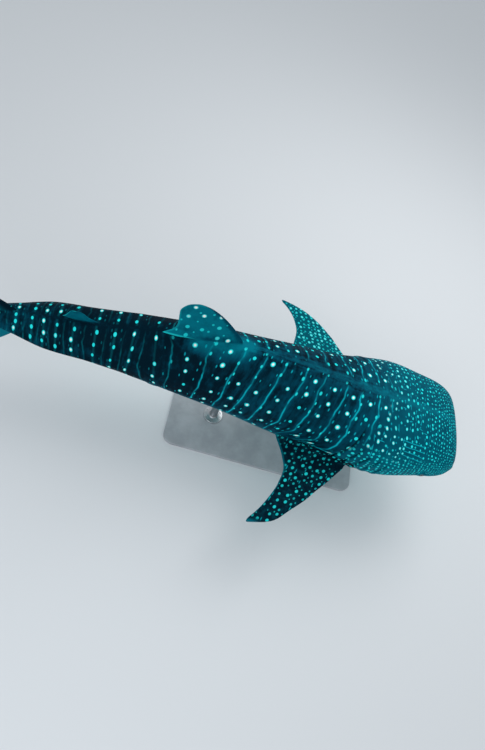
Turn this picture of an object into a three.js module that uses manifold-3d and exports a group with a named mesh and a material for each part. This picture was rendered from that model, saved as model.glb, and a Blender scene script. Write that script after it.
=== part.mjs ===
// A whale shark six metres long, swimming, as a still museum model on a plain stand.
// Millimetres. +X points to the snout, +Y to the animal's left, +Z up, and the floor is z = 0.
// The origin is the centre of the stand's base on the floor.
import * as THREE from 'three';
import { LoftGeometry } from 'three/addons/geometries/LoftGeometry.js';
import { mergeVertices } from 'three/addons/utils/BufferGeometryUtils.js';
import Module from 'manifold-3d';

const wasm = await Module();
wasm.setup();

// Driving dimensions

const TOTAL_LENGTH = 6000;
const AXIS_HEIGHT = 1050;
// station of the body, as a share of the total length, that stands over the base's centre
const BALANCE_STATION = 0.32;
const PART_GAP = 0.6;
const CUT_CLEARANCE = 0.5;

const EYE_RADIUS = 26;
const EYE_DEPTH = 14;
const EYE_STATION = 0.064;
const EYE_ANGLE = -7;

const BASE_LENGTH = 2300;
const BASE_WIDTH = 1000;
const BASE_THICKNESS = 40;
const BASE_CORNER = 120;
const ROD_RADIUS = 45;
const ROD_FOOT_RADIUS = 115;
const ROD_PAD_RADIUS = 85;
const ROD_OFFSET = 640;
const ROD_SIDES = 24;
const ROD_FOOT_THICKNESS = 16;
const ROD_FOOT_SLOPE = 18;
const ROD_FOOT_NECK = 8;
const ROD_PAD_SLOPE = 33;
const ROD_PAD_RIM = 12;

const SIDES_OF_BODY = 40;
const SIDES_OF_FIN = 14;
const EYE_DETAIL = 2;
const ARC_STEPS = 6;
const MERGE_DISTANCE = 1e-3;

const toRadians = THREE.MathUtils.degToRad;

// Smooth curve through knots of [place, value], which never overshoots them

function smooth(knots) {
  const last = knots.length - 1;
  const step = [];
  const rise = [];
  for (let i = 0; i < last; i++) {
    step.push(knots[i + 1][0] - knots[i][0]);
    rise.push((knots[i + 1][1] - knots[i][1]) / step[i]);
  }
  const slope = knots.map((_, i) => {
    if (i === 0) return rise[0];
    if (i === last) return rise[last - 1];
    if (rise[i - 1] * rise[i] <= 0) return 0;
    const before = 2 * step[i] + step[i - 1];
    const after = step[i] + 2 * step[i - 1];
    return (before + after) / (before / rise[i - 1] + after / rise[i]);
  });
  return (place) => {
    let i = 0;
    while (i < last - 1 && place > knots[i + 1][0]) i++;
    const u = THREE.MathUtils.clamp((place - knots[i][0]) / step[i], 0, 1);
    const keep = (1 + 2 * u) * (1 - u) ** 2;
    const gain = u * u * (3 - 2 * u);
    const leave = u * (1 - u) ** 2 * step[i];
    const arrive = u * u * (u - 1) * step[i];
    return keep * knots[i][1] + gain * knots[i + 1][1] + leave * slope[i] + arrive * slope[i + 1];
  };
}

// Body form. Stations and sizes are shares of the total length, counted from the snout.

const halfWidth = smooth([
  [0, 0.034], [0.002, 0.052], [0.006, 0.068], [0.012, 0.079], [0.035, 0.093], [0.08, 0.102],
  [0.14, 0.111], [0.2, 0.103], [0.27, 0.087], [0.35, 0.075], [0.43, 0.065], [0.52, 0.06],
  [0.6, 0.0545], [0.68, 0.0489], [0.72, 0.047], [0.75, 0.044], [0.78, 0.038], [0.8, 0.032],
  [0.825, 0.024], [0.848, 0.01],
]);
const backHeight = smooth([
  [0, 0.003], [0.002, 0.01], [0.006, 0.02], [0.012, 0.029], [0.035, 0.042], [0.08, 0.054],
  [0.14, 0.065], [0.2, 0.076], [0.27, 0.087], [0.35, 0.094], [0.43, 0.092], [0.52, 0.076],
  [0.6, 0.0585], [0.68, 0.0455], [0.75, 0.033], [0.8, 0.024], [0.825, 0.018], [0.848, 0.01],
]);
const bellyDepth = smooth([
  [0, 0.004], [0.002, 0.012], [0.006, 0.023], [0.012, 0.033], [0.035, 0.045], [0.08, 0.058],
  [0.14, 0.073], [0.2, 0.082], [0.27, 0.085], [0.35, 0.083], [0.43, 0.0745], [0.52, 0.061],
  [0.6, 0.0495], [0.68, 0.038], [0.75, 0.0275], [0.8, 0.021], [0.825, 0.017], [0.848, 0.01],
]);
// exponents of the super-ellipse that is each section: 2 is an ellipse, more is squarer
const backRoundness = smooth([[0, 2.3], [0.1, 2.1], [0.2, 1.9], [0.35, 1.75], [0.5, 1.8], [0.8, 2]]);
const bellyRoundness = smooth([[0, 2.6], [0.1, 2.5], [0.2, 2.4], [0.35, 2.3], [0.5, 2.2], [0.8, 2]]);
// the head turns a little to the left, and the tail swings to the right in its stroke
const sideSwing = smooth([
  [0, 0.014], [0.12, 0.008], [0.24, 0], [0.45, 0], [0.6, -0.001], [0.65, -0.0042], [0.8, -0.0197],
  [0.9, -0.042], [1, -0.07],
]);
const tailLift = smooth([[0, 0], [0.65, 0], [0.8, 0.003], [0.9, 0.012], [1, 0.012]]);
// the back of the tail rolls to the right in its stroke, in radians
const tailRoll = smooth([[0, 0], [0.56, 0], [0.66, 0.16], [0.74, 0.16], [0.8, 0], [1, 0]]);

// long ridges of each flank: height above the skin, and degrees above the flank's middle
const KEEL = {
  height: smooth([[0.6, 0], [0.7, 0.003], [0.78, 0.006], [0.82, 0.005], [0.845, 0]]),
  angle: 2,
};
const LOW_RIDGE = {
  height: smooth([[0.2, 0], [0.3, 0.0015], [0.5, 0.0015], [0.64, 0]]),
  angle: 18,
};
const MIDDLE_RIDGE = {
  height: smooth([[0.14, 0], [0.25, 0.0015], [0.6, 0.0015], [0.76, 0]]),
  angle: 45,
};
const RIDGES = [KEEL, LOW_RIDGE, MIDDLE_RIDGE];
const RIDGE_BREADTH = 9;

function centreOf(station) {
  return new THREE.Vector3(
    (BALANCE_STATION - station) * TOTAL_LENGTH,
    sideSwing(station) * TOTAL_LENGTH,
    AXIS_HEIGHT + tailLift(station) * TOTAL_LENGTH,
  );
}

const FRAME_REACH = 0.001;

function frameOf(station) {
  const forward = centreOf(station - FRAME_REACH).sub(centreOf(station + FRAME_REACH)).normalize();
  const left = new THREE.Vector3(0, 0, 1).cross(forward).normalize();
  left.applyAxisAngle(forward, tailRoll(station));
  const up = forward.clone().cross(left);
  return { forward, left, up };
}

// a place given by its station, its reach to the left and its height, all as shares
function place(station, left, height) {
  const frame = frameOf(station);
  return centreOf(station)
    .addScaledVector(frame.left, left * TOTAL_LENGTH)
    .addScaledVector(frame.up, height * TOTAL_LENGTH);
}

function ridgeAt(station, angle) {
  const aboveFlank = THREE.MathUtils.radToDeg(Math.asin(Math.sin(angle)));
  let total = 0;
  for (const ridge of RIDGES) {
    const away = (aboveFlank - ridge.angle) / RIDGE_BREADTH;
    total += Math.max(ridge.height(station), 0) * Math.exp(-away * away);
  }
  return total;
}

// the angle runs from the animal's left side over its back; grow swells the body by millimetres
function skinPoint(station, angle, grow = 0) {
  const across = Math.cos(angle);
  const upward = Math.sin(angle);
  const power = upward >= 0 ? backRoundness(station) : bellyRoundness(station);
  const height = upward >= 0 ? backHeight(station) : bellyDepth(station);
  const reach = (Math.abs(across) ** power + Math.abs(upward) ** power) ** (-1 / power);
  const extra = ridgeAt(station, angle) + grow / TOTAL_LENGTH;
  const keelInset = Math.max(KEEL.height(station), 0);
  const left = (halfWidth(station) - keelInset) * reach * across + extra * across;
  return place(station, left, height * reach * upward + extra * upward);
}

function skinSection(station, grow) {
  const section = [];
  for (let i = 0; i < SIDES_OF_BODY; i++) {
    section.push(skinPoint(station, (i / SIDES_OF_BODY) * 2 * Math.PI, grow));
  }
  return section;
}

// Stations where the body is divided, and those between them

const TAIL_END = 0.848;
const DIVISIONS = [
  ['head', 0, 0.125],
  ['gill_region', 0.125, 0.235],
  ['trunk_front', 0.235, 0.4],
  ['trunk_rear', 0.4, 0.56],
  ['tail_front', 0.56, 0.7],
  ['tail_stalk', 0.7, TAIL_END],
];
const NOSE_STATIONS = [0.002, 0.006, 0.012, 0.022, 0.035, 0.052, 0.07, 0.088, 0.106];
const BODY_STEP = 0.0235;

function stationsBetween(start, end) {
  const list = [start];
  if (start === 0) {
    list.push(...NOSE_STATIONS);
  } else {
    const count = Math.round((end - start) / BODY_STEP);
    for (let i = 1; i < count; i++) list.push(start + ((end - start) * i) / count);
  }
  list.push(end);
  return list;
}

// sections run from the tail end to the snout end, so that the faces point outward
function bodyLoft(start, end) {
  const half = PART_GAP / 2 / TOTAL_LENGTH;
  const stations = stationsBetween(start, end);
  if (start > 0) stations[0] += half;
  if (end < TAIL_END) stations[stations.length - 1] -= half;
  const sections = stations.reverse().map((station) => skinSection(station, 0));
  return new LoftGeometry(sections, { closed: true, capStart: true, capEnd: true });
}

// Solids: closed meshes that can be joined and cut

function solidOf(geometry) {
  const bare = new THREE.BufferGeometry();
  bare.setAttribute('position', geometry.attributes.position);
  if (geometry.index) bare.setIndex(geometry.index);
  const merged = mergeVertices(bare, MERGE_DISTANCE);
  return new wasm.Manifold(new wasm.Mesh({
    numProp: 3,
    vertProperties: Float32Array.from(merged.attributes.position.array),
    triVerts: Uint32Array.from(merged.index.array),
  }));
}

function geometryOf(solid) {
  const mesh = solid.getMesh();
  const geometry = new THREE.BufferGeometry();
  geometry.setAttribute('position', new THREE.BufferAttribute(mesh.vertProperties, 3));
  geometry.setIndex(new THREE.BufferAttribute(mesh.triVerts, 1));
  geometry.computeVertexNormals();
  return geometry;
}

// the whole body, swollen by the clearance that its fins and rods keep to it
function swollenBody() {
  const stations = DIVISIONS.flatMap(([, start, end]) => stationsBetween(start, end).slice(0, -1));
  stations.push(TAIL_END + CUT_CLEARANCE / TOTAL_LENGTH);
  const sections = stations.reverse().map((station) => skinSection(station, CUT_CLEARANCE));
  return solidOf(new LoftGeometry(sections, { closed: true, capStart: true, capEnd: true }));
}

// Fins. Each is a blade of lens-shaped sections between a leading and a trailing edge.
// An edge is knots of [share of the span, station, left, height].

function edge(knots) {
  const station = smooth(knots.map((k) => [k[0], k[1]]));
  const left = smooth(knots.map((k) => [k[0], k[2]]));
  const height = smooth(knots.map((k) => [k[0], k[3]]));
  return (span, mirror = 1) => place(station(span), left(span) * mirror, height(span));
}

const SPANS = [0, 0.1, 0.22, 0.36, 0.52, 0.68, 0.82, 0.92, 1];
// a blade is fullest towards its leading edge, and thins faster near its root
const LENS_FULLNESS = 1.15;
const LENS_THINNING = 0.55;
const SPAN_THINNING = 0.7;

function finLoft(fin, mirror = 1) {
  const sections = SPANS.map((span) => {
    const lead = fin.leading(span, mirror);
    const trail = fin.trailing(span, mirror);
    const chord = trail.clone().sub(lead);
    const outward = fin.leading(1, mirror).sub(fin.leading(0, mirror));
    const across = chord.clone().cross(outward).normalize();
    const half = THREE.MathUtils.lerp(fin.rootThickness, fin.tipThickness, span ** SPAN_THINNING) / 2;
    const section = [];
    for (let i = 0; i < SIDES_OF_FIN; i++) {
      const turn = (i / SIDES_OF_FIN) * 2 * Math.PI;
      const along = (1 - Math.cos(turn)) / 2;
      const lens = Math.sin(turn) * (LENS_FULLNESS - LENS_THINNING * along);
      section.push(lead.clone().addScaledVector(chord, along).addScaledVector(across, half * lens));
    }
    return section;
  });
  return new LoftGeometry(sections, { closed: true, capStart: true, capEnd: true });
}

const FIRST_DORSAL = {
  leading: edge([
    [0, 0.428, 0, 0.08], [0.1, 0.433, 0, 0.093], [0.36, 0.448, 0, 0.114], [0.68, 0.476, 0, 0.142],
    [0.9, 0.496, 0, 0.1545], [1, 0.511, 0, 0.16],
  ]),
  trailing: edge([
    [0, 0.565, -0.01, 0.0745], [0.1, 0.558, -0.008, 0.08], [0.22, 0.5485, -0.005, 0.087],
    [0.4, 0.545, -0.003, 0.101], [0.68, 0.547, 0, 0.129], [0.88, 0.54, 0, 0.146],
    [1, 0.528, 0, 0.1575],
  ]),
  rootThickness: 66,
  tipThickness: 12,
};

const SECOND_DORSAL = {
  leading: edge([
    [0, 0.653, 0, 0.04], [0.15, 0.663, 0.001, 0.047], [0.5, 0.685, 0.003, 0.0545],
    [0.8, 0.6965, 0.005, 0.0625], [1, 0.707, 0.004, 0.066],
  ]),
  trailing: edge([
    [0, 0.73, 0.004, 0.0405], [0.12, 0.7265, 0.003, 0.0435], [0.4, 0.7225, 0.003, 0.0495],
    [0.8, 0.717, 0.004, 0.0595], [1, 0.7145, 0.004, 0.0655],
  ]),
  rootThickness: 36,
  tipThickness: 9,
};

const PECTORAL_RIGHT = {
  leading: edge([
    [0, 0.19, 0.06, -0.03], [0.1, 0.1985, 0.098, -0.035], [0.22, 0.213, 0.119, -0.038],
    [0.36, 0.2295, 0.143, -0.04], [0.52, 0.2485, 0.17, -0.043], [0.75, 0.2795, 0.2025, -0.046],
    [0.9, 0.305, 0.226, -0.048], [1, 0.3395, 0.2375, -0.05],
  ]),
  trailing: edge([
    [0, 0.333, 0.06, -0.041], [0.1, 0.32, 0.083, -0.041], [0.22, 0.3065, 0.11, -0.042],
    [0.36, 0.3005, 0.132, -0.043], [0.55, 0.3055, 0.159, -0.045], [0.75, 0.3215, 0.195, -0.047],
    [0.9, 0.338, 0.2205, -0.049], [1, 0.353, 0.2375, -0.05],
  ]),
  rootThickness: 78,
  tipThickness: 12,
};

// the left one is swept a little wider in this stroke
const PECTORAL_LEFT = {
  leading: edge([
    [0, 0.172, 0.06, -0.03], [0.1, 0.179, 0.098, -0.034], [0.22, 0.1915, 0.119, -0.036],
    [0.36, 0.2115, 0.143, -0.037], [0.52, 0.2395, 0.17, -0.039], [0.75, 0.2735, 0.2025, -0.042],
    [0.9, 0.305, 0.2235, -0.045], [1, 0.3425, 0.2385, -0.049],
  ]),
  trailing: edge([
    [0, 0.334, 0.06, -0.036], [0.1, 0.328, 0.088, -0.036], [0.22, 0.3215, 0.112, -0.037],
    [0.36, 0.3185, 0.134, -0.038], [0.55, 0.316, 0.162, -0.041], [0.75, 0.3248, 0.195, -0.044],
    [0.9, 0.3412, 0.221, -0.047], [1, 0.3605, 0.2385, -0.049],
  ]),
  rootThickness: 78,
  tipThickness: 12,
};

const PELVIC = {
  leading: edge([
    [0, 0.503, 0.03, -0.046], [0.4, 0.522, 0.029, -0.061], [0.8, 0.543, 0.0265, -0.071],
    [1, 0.553, 0.026, -0.074],
  ]),
  trailing: edge([
    [0, 0.583, 0.03, -0.06], [0.3, 0.575, 0.0285, -0.0635], [0.7, 0.567, 0.027, -0.07],
    [1, 0.561, 0.026, -0.0735],
  ]),
  rootThickness: 32,
  tipThickness: 9,
};

const ANAL = {
  leading: edge([
    [0, 0.672, 0, -0.029], [0.2, 0.681, 0, -0.043], [0.6, 0.697, 0, -0.059], [1, 0.712, 0, -0.0685],
  ]),
  trailing: edge([
    [0, 0.742, 0, -0.031], [0.2, 0.731, 0, -0.039], [0.6, 0.723, 0, -0.055], [1, 0.718, 0, -0.068],
  ]),
  rootThickness: 30,
  tipThickness: 9,
};

const CAUDAL_UPPER = {
  leading: edge([
    [0, 0.784, 0, 0.006], [0.12, 0.803, 0, 0.027], [0.25, 0.832, 0, 0.048], [0.45, 0.87, 0, 0.078],
    [0.65, 0.911, 0, 0.113], [0.85, 0.955, 0, 0.148], [1, 0.991, 0, 0.171],
  ]),
  trailing: edge([
    [0, 0.862, 0, -0.014], [0.12, 0.864, 0, 0.008], [0.25, 0.871, 0, 0.027], [0.45, 0.893, 0, 0.059],
    [0.65, 0.923, 0, 0.092], [0.85, 0.963, 0, 0.131], [1, 0.998, 0, 0.1655],
  ]),
  rootThickness: 56,
  tipThickness: 12,
};

const CAUDAL_LOWER = {
  leading: edge([
    [0, 0.781, 0, -0.004], [0.15, 0.79, 0, -0.025], [0.35, 0.807, 0, -0.044], [0.6, 0.825, 0, -0.068],
    [0.85, 0.856, 0, -0.098], [1, 0.877, 0, -0.117],
  ]),
  trailing: edge([
    [0, 0.863, 0, -0.004], [0.15, 0.86, 0, -0.021], [0.35, 0.86, 0, -0.04], [0.6, 0.865, 0, -0.066],
    [0.85, 0.877, 0, -0.096], [1, 0.886, 0, -0.115],
  ]),
  rootThickness: 56,
  tipThickness: 12,
};

// Where the lower jaw parts from the head: down behind the corners of the mouth

const MOUTH_FRONT = { station: -0.03, height: -0.003 };
const MOUTH_CORNER = { station: 0.046, height: -0.0095 };
const JAW_HINGE = { station: 0.061, height: -0.09 };
const JAW_BREADTH = 0.3;

function jawBlock(grow) {
  const outline = new THREE.Shape();
  const at = (knot, x, z) => [
    (BALANCE_STATION - knot.station) * TOTAL_LENGTH + x,
    AXIS_HEIGHT + knot.height * TOTAL_LENGTH + z,
  ];
  outline.moveTo(...at(MOUTH_FRONT, 0, grow));
  outline.lineTo(...at(MOUTH_CORNER, -grow, grow));
  outline.lineTo(...at(JAW_HINGE, -grow, 0));
  outline.lineTo(...at({ station: MOUTH_FRONT.station, height: JAW_HINGE.height }, 0, 0));
  const breadth = JAW_BREADTH * TOTAL_LENGTH;
  const block = new THREE.ExtrudeGeometry(outline, { depth: breadth, bevelEnabled: false });
  block.rotateX(Math.PI / 2);
  block.translate(0, breadth / 2, 0);
  return solidOf(block);
}

// Eyes

function eyeCentre(mirror) {
  const angle = toRadians(mirror > 0 ? EYE_ANGLE : 180 - EYE_ANGLE);
  const surface = skinPoint(EYE_STATION, angle);
  const inward = frameOf(EYE_STATION).left.multiplyScalar(-mirror);
  return surface.addScaledVector(inward, EYE_DEPTH);
}

function eyeBall(mirror, radius) {
  const ball = new THREE.IcosahedronGeometry(radius, EYE_DETAIL);
  const centre = eyeCentre(mirror);
  ball.translate(centre.x, centre.y, centre.z);
  return solidOf(ball);
}

// Stand

function standBase() {
  const halfLength = BASE_LENGTH / 2;
  const halfWidthOfBase = BASE_WIDTH / 2;
  const outline = new THREE.Shape();
  const corners = [[1, 1, 0], [-1, 1, 90], [-1, -1, 180], [1, -1, 270]];
  for (const [x, y, start] of corners) {
    const centreX = x * (halfLength - BASE_CORNER);
    const centreY = y * (halfWidthOfBase - BASE_CORNER);
    outline.absarc(centreX, centreY, BASE_CORNER, toRadians(start), toRadians(start + 90), false);
  }
  outline.closePath();
  const settings = { depth: BASE_THICKNESS, bevelEnabled: false, curveSegments: ARC_STEPS };
  return solidOf(new THREE.ExtrudeGeometry(outline, settings));
}

function standRod(x) {
  const reach = AXIS_HEIGHT - BASE_THICKNESS;
  const padHeight = reach - bellyDepth(BALANCE_STATION - x / TOTAL_LENGTH) * TOTAL_LENGTH;
  const footTop = ROD_FOOT_THICKNESS + ROD_FOOT_SLOPE;
  const neckHeight = ROD_FOOT_THICKNESS + ROD_FOOT_NECK;
  const padStart = padHeight - ROD_PAD_RIM;
  const profile = [
    [0, 0], [ROD_FOOT_RADIUS, 0], [ROD_FOOT_RADIUS, ROD_FOOT_THICKNESS],
    [ROD_RADIUS + ROD_FOOT_NECK, neckHeight], [ROD_RADIUS, footTop],
    [ROD_RADIUS, padStart - ROD_PAD_SLOPE], [ROD_PAD_RADIUS, padStart], [ROD_PAD_RADIUS, reach], [0, reach],
  ];
  const rod = new THREE.LatheGeometry(profile.map(([r, z]) => new THREE.Vector2(r, z)), ROD_SIDES);
  rod.rotateX(Math.PI / 2);
  rod.translate(x, 0, BASE_THICKNESS);
  return solidOf(rod);
}

// Materials

const skinFinish = { roughness: 0.45, metalness: 0 };
const skinColour = new THREE.MeshStandardMaterial({ color: 0x003441, ...skinFinish });
const finColour = new THREE.MeshStandardMaterial({ color: 0x005a66, ...skinFinish });
const jawColour = new THREE.MeshStandardMaterial({ color: 0x5fa3a6, ...skinFinish });
const eyeColour = new THREE.MeshStandardMaterial({ color: 0x05080a, roughness: 0.08, metalness: 0 });
const steelColour = new THREE.MeshStandardMaterial({ color: 0x9a9ea2, roughness: 0.4, metalness: 0.9 });
const baseColour = new THREE.MeshStandardMaterial({ color: 0xc9cbcc, roughness: 0.6, metalness: 0 });

// Assembly

const model = new THREE.Group();

function addPart(name, solid, material) {
  const mesh = new THREE.Mesh(geometryOf(solid), material.clone());
  mesh.name = name;
  model.add(mesh);
}

const body = swollenBody();

for (const [name, start, end] of DIVISIONS) {
  if (name === 'head') continue;
  addPart(name, solidOf(bodyLoft(start, end)), skinColour);
}

const wholeHead = solidOf(bodyLoft(0, DIVISIONS[0][2]));
let head = wholeHead.subtract(jawBlock(PART_GAP));
for (const mirror of [1, -1]) {
  head = head.subtract(eyeBall(mirror, EYE_RADIUS + CUT_CLEARANCE));
  addPart(mirror > 0 ? 'eye_left' : 'eye_right', eyeBall(mirror, EYE_RADIUS), eyeColour);
}
addPart('head', head, skinColour);
addPart('lower_jaw', wholeHead.intersect(jawBlock(0)), jawColour);

addPart('dorsal_fin_first', solidOf(finLoft(FIRST_DORSAL)).subtract(body), finColour);
addPart('dorsal_fin_second', solidOf(finLoft(SECOND_DORSAL)).subtract(body), finColour);
addPart('anal_fin', solidOf(finLoft(ANAL)).subtract(body), finColour);

for (const [side, mirror, pectoral] of [['left', 1, PECTORAL_LEFT], ['right', -1, PECTORAL_RIGHT]]) {
  addPart(`pectoral_fin_${side}`, solidOf(finLoft(pectoral, mirror)).subtract(body), finColour);
  addPart(`pelvic_fin_${side}`, solidOf(finLoft(PELVIC, mirror)).subtract(body), finColour);
}

// the tail fin is one blade, parted level through its fork
const tailFin = solidOf(finLoft(CAUDAL_UPPER)).add(solidOf(finLoft(CAUDAL_LOWER))).subtract(body);
const FORK_LEVEL = AXIS_HEIGHT - 0.004 * TOTAL_LENGTH;
function halfSpace(direction) {
  const block = new THREE.BoxGeometry(TOTAL_LENGTH, TOTAL_LENGTH, TOTAL_LENGTH);
  const shift = TOTAL_LENGTH / 2 + PART_GAP / 2;
  block.translate(-TOTAL_LENGTH / 2, 0, FORK_LEVEL + direction * shift);
  return solidOf(block);
}
addPart('caudal_fin_upper', tailFin.intersect(halfSpace(1)), finColour);
addPart('caudal_fin_lower', tailFin.intersect(halfSpace(-1)), finColour);

addPart('stand_base', standBase(), baseColour);
addPart('stand_rod_front', standRod(ROD_OFFSET).subtract(body), steelColour);
addPart('stand_rod_rear', standRod(-ROD_OFFSET).subtract(body), steelColour);

export default model;
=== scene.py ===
import math
from contextlib import contextmanager

import bpy
import numpy as np
from mathutils import Matrix, Vector
from mathutils.kdtree import KDTree


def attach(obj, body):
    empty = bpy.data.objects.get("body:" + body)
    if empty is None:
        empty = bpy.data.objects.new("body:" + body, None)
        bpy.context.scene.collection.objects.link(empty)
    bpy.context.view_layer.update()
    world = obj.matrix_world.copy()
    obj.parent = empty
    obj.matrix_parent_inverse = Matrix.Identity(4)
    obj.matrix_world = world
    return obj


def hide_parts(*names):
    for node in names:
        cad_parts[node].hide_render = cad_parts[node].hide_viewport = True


# A whale shark six metres long, swimming, as a still museum model on a plain display stand.
# Metres. +X points to the snout, +Y to the animal's left, +Z up, and the floor is z = 0.

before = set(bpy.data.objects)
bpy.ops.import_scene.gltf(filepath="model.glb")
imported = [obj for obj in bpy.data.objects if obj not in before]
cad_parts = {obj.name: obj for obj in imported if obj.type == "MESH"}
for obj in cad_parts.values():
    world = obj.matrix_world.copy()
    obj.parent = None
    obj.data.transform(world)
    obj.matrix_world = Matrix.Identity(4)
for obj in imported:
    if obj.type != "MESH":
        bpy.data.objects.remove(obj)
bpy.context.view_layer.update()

# Driving dimensions. Stations and body sizes are shares of the total length, from the snout.

TOTAL_LENGTH = 6.0
AXIS_HEIGHT = 1.05
BALANCE_STATION = 0.32
TAIL_END = 0.848
SIDES_OF_BODY = 144
SIDES_OF_FIN = 44
RINGS_OF_FIN = 44


def smooth(knots):
    """A curve through knots of (place, value), which never overshoots them."""
    place, value = np.array(knots, float).T
    step = np.diff(place)
    rise = np.diff(value) / step
    slope = np.zeros_like(value)
    slope[0], slope[-1] = rise[0], rise[-1]
    before = 2 * step[1:] + step[:-1]
    after = step[1:] + 2 * step[:-1]
    same_way = rise[:-1] * rise[1:] > 0
    first = np.where(same_way, rise[:-1], 1)
    second = np.where(same_way, rise[1:], 1)
    slope[1:-1] = np.where(same_way, (before + after) / (before / first + after / second), 0)

    def at(where):
        where = np.clip(np.asarray(where, float), place[0], place[-1])
        i = np.clip(np.searchsorted(place, where, side="left") - 1, 0, len(step) - 1)
        u = (where - place[i]) / step[i]
        keep = (1 + 2 * u) * (1 - u) ** 2
        gain = u * u * (3 - 2 * u)
        leave = u * (1 - u) ** 2 * step[i]
        arrive = u * u * (u - 1) * step[i]
        return keep * value[i] + gain * value[i + 1] + leave * slope[i] + arrive * slope[i + 1]

    return at


def step_between(low, high, value):
    """0 below low, 1 above high, and smooth between. Low may be the larger."""
    t = np.clip((value - low) / (high - low), 0, 1)
    return t * t * (3 - 2 * t)


def bell(value, breadth):
    return np.exp(-((value / breadth) ** 2))


# Body form

half_width = smooth([
    (0, 0.034), (0.002, 0.052), (0.006, 0.068), (0.012, 0.079), (0.035, 0.093), (0.08, 0.102),
    (0.14, 0.111), (0.2, 0.103), (0.27, 0.087), (0.35, 0.075), (0.43, 0.065), (0.52, 0.06),
    (0.6, 0.0545), (0.68, 0.0489), (0.72, 0.047), (0.75, 0.044), (0.78, 0.038), (0.8, 0.032),
    (0.825, 0.024), (0.848, 0.01),
])
back_height = smooth([
    (0, 0.003), (0.002, 0.01), (0.006, 0.02), (0.012, 0.029), (0.035, 0.042), (0.08, 0.054),
    (0.14, 0.065), (0.2, 0.076), (0.27, 0.087), (0.35, 0.094), (0.43, 0.092), (0.52, 0.076),
    (0.6, 0.0585), (0.68, 0.0455), (0.75, 0.033), (0.8, 0.024), (0.825, 0.018), (0.848, 0.01),
])
belly_depth = smooth([
    (0, 0.004), (0.002, 0.012), (0.006, 0.023), (0.012, 0.033), (0.035, 0.045), (0.08, 0.058),
    (0.14, 0.073), (0.2, 0.082), (0.27, 0.085), (0.35, 0.083), (0.43, 0.0745), (0.52, 0.061),
    (0.6, 0.0495), (0.68, 0.038), (0.75, 0.0275), (0.8, 0.021), (0.825, 0.017), (0.848, 0.01),
])
back_roundness = smooth([(0, 2.3), (0.1, 2.1), (0.2, 1.9), (0.35, 1.75), (0.5, 1.8), (0.8, 2)])
belly_roundness = smooth([(0, 2.6), (0.1, 2.5), (0.2, 2.4), (0.35, 2.3), (0.5, 2.2), (0.8, 2)])
side_swing = smooth([
    (0, 0.014), (0.12, 0.008), (0.24, 0), (0.45, 0), (0.6, -0.001), (0.65, -0.0042), (0.8, -0.0197),
    (0.9, -0.042), (1, -0.07),
])
tail_lift = smooth([(0, 0), (0.65, 0), (0.8, 0.003), (0.9, 0.012), (1, 0.012)])
# the back of the tail rolls to the right in its stroke, in radians
tail_roll = smooth([(0, 0), (0.56, 0), (0.66, 0.16), (0.74, 0.16), (0.8, 0), (1, 0)])
keel_height = smooth([(0.6, 0), (0.7, 0.003), (0.78, 0.006), (0.82, 0.005), (0.845, 0)])
low_ridge_height = smooth([(0.2, 0), (0.3, 0.0015), (0.5, 0.0015), (0.64, 0)])
middle_ridge_height = smooth([(0.14, 0), (0.25, 0.0015), (0.6, 0.0015), (0.76, 0)])
RIDGES = [(keel_height, 2), (low_ridge_height, 18), (middle_ridge_height, 45)]
RIDGE_BREADTH = 9


def centre_of(station):
    station = np.asarray(station, float)
    return np.stack([
        (BALANCE_STATION - station) * TOTAL_LENGTH,
        side_swing(station) * TOTAL_LENGTH,
        AXIS_HEIGHT + tail_lift(station) * TOTAL_LENGTH,
    ], -1)


def unit(vectors):
    return vectors / np.linalg.norm(vectors, axis=-1, keepdims=True)


def frame_of(station):
    """The body's own forward, left and up directions at a station."""
    reach = 0.001
    forward = unit(centre_of(station - reach) - centre_of(station + reach))
    left = unit(np.cross([0, 0, 1.0], forward))
    up = np.cross(forward, left)
    roll = tail_roll(station)[..., None]
    return forward, left * np.cos(roll) + up * np.sin(roll), up * np.cos(roll) - left * np.sin(roll)


def place(station, left, height):
    """Points given by station, reach to the left and height, all as shares."""
    station, left, height = np.broadcast_arrays(station, left, height)
    _, leftward, upward = frame_of(station)
    sideways = leftward * left[..., None] + upward * height[..., None]
    return centre_of(station) + sideways * TOTAL_LENGTH


def ridge_at(station, angle):
    above_flank = np.degrees(np.arcsin(np.sin(angle)))
    return sum(height(station) * bell(above_flank - at, RIDGE_BREADTH) for height, at in RIDGES)


def section_of(station, angle):
    """Reach to the left and height of the skin, as shares.

    The angle runs from the left side over the back.
    """
    across, upward = np.cos(angle), np.sin(angle)
    power = np.where(upward >= 0, back_roundness(station), belly_roundness(station))
    height = np.where(upward >= 0, back_height(station), belly_depth(station))
    reach = (np.abs(across) ** power + np.abs(upward) ** power) ** (-1 / power)
    extra = ridge_at(station, angle)
    width = half_width(station) - keel_height(station)
    return width * reach * across + extra * across, height * reach * upward + extra * upward


# Modelling helpers

def deselect_all():
    if bpy.context.mode != "OBJECT":
        bpy.ops.object.mode_set(mode="OBJECT")
    bpy.ops.object.select_all(action="DESELECT")


def activate(piece):
    deselect_all()
    piece.select_set(True)
    bpy.context.view_layer.objects.active = piece


@contextmanager
def editing(piece):
    """Edit mode on one piece, and object mode again afterwards."""
    activate(piece)
    bpy.ops.object.mode_set(mode="EDIT")
    yield
    bpy.ops.object.mode_set(mode="OBJECT")


def fix_place():
    """Moves the active piece's place into its mesh."""
    bpy.ops.object.transform_apply(location=True, rotation=True, scale=True)


def points_of(piece):
    flat = np.empty(len(piece.data.vertices) * 3)
    piece.data.vertices.foreach_get("co", flat)
    return flat.reshape(-1, 3)


def move_points(piece, points):
    piece.data.vertices.foreach_set("co", np.ascontiguousarray(points, float).ravel())
    piece.data.update()


def normals_of(piece):
    flat = np.empty(len(piece.data.vertices) * 3)
    piece.data.vertex_normals.foreach_get("vector", flat)
    return flat.reshape(-1, 3)


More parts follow.
